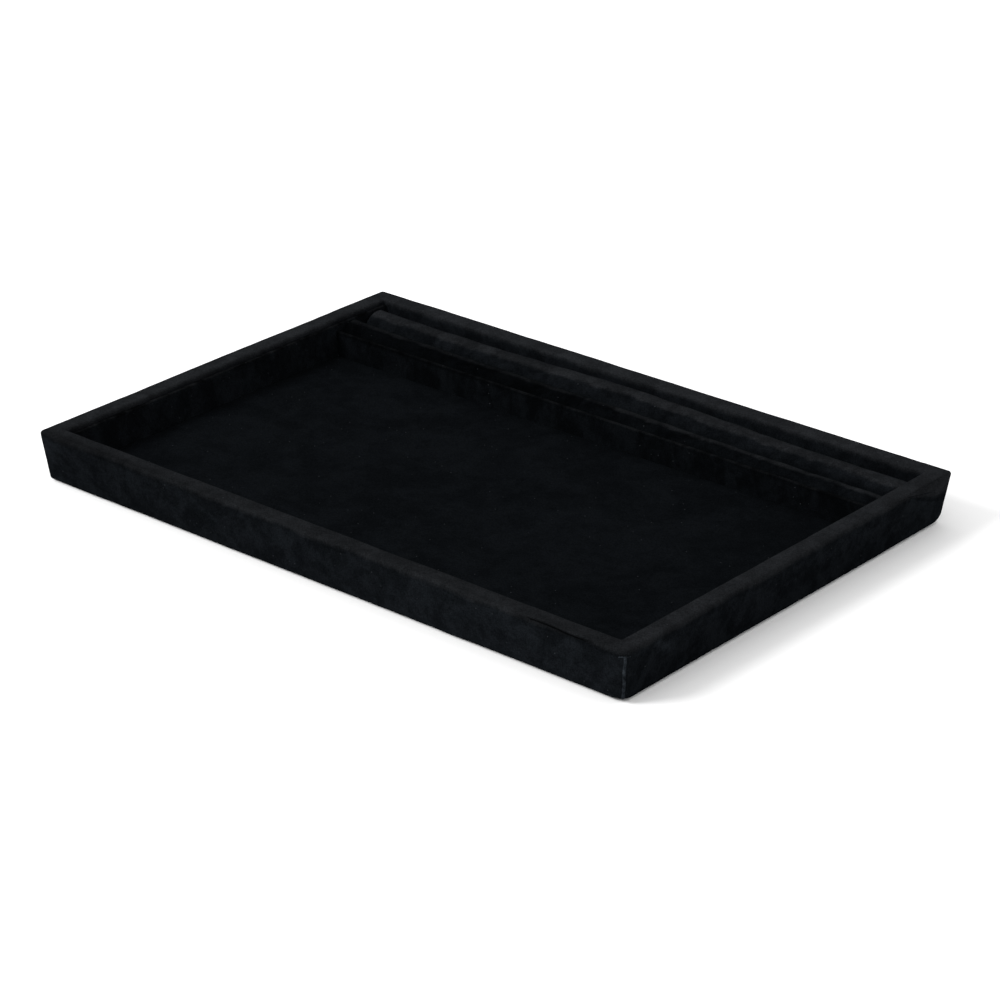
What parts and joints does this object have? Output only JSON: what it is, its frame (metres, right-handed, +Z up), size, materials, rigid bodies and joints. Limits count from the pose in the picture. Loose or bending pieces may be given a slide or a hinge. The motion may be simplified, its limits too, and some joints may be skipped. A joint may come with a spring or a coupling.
{
  "type": "jewelry tray",
  "caption": "Low rectangular velvet-covered tray with outward-leaning walls, a padded floor for laying out jewelry and a lift-out padded ring slot along its back wall.",
  "frame": {"origin": "on the table, under the middle of the tray", "axes": "+X along the long side, +Y from the front wall to the back wall with the ring slot, +Z up"},
  "size_m": [0.3496, 0.2396, 0.0255],
  "materials": {
    "velvet": "black short-pile velvet",
    "foam": "dark grey soft foam",
    "card": "black card",
    "board": "raw fibreboard",
    "steel": "bright drawn wire",
    "backing": "black felted sheet"
  },
  "bodies": {
    "tray": {"base_board": "board", "front_wall_board": "board", "back_wall_board": "board", "left_wall_board": "board", "right_wall_board": "board", "corner_brads": "steel", "base_brads": "steel", "front_wall_velvet": "velvet", "back_wall_velvet": "velvet", "left_wall_velvet": "velvet", "right_wall_velvet": "velvet", "underside_sheet": "backing", "floor_card": "card", "floor_foam": "foam", "floor_velvet": "velvet", "front_liner_card": "card", "left_liner_card": "card", "right_liner_card": "card", "front_liner_velvet": "velvet", "left_liner_velvet": "velvet", "right_liner_velvet": "velvet"},
    "ring_insert": {"insert_card": "card", "facing_card": "card", "facing_velvet": "velvet", "rear_roll_foam": "foam", "rear_roll_velvet": "velvet", "front_roll_foam": "foam", "front_roll_velvet": "velvet"}
  },
  "joints": [
    {"name": "insert_lift", "type": "slide", "parent": "tray", "child": "ring_insert", "axis": [0, 0, 1], "range_m": [0, 0.04]}
  ]
}
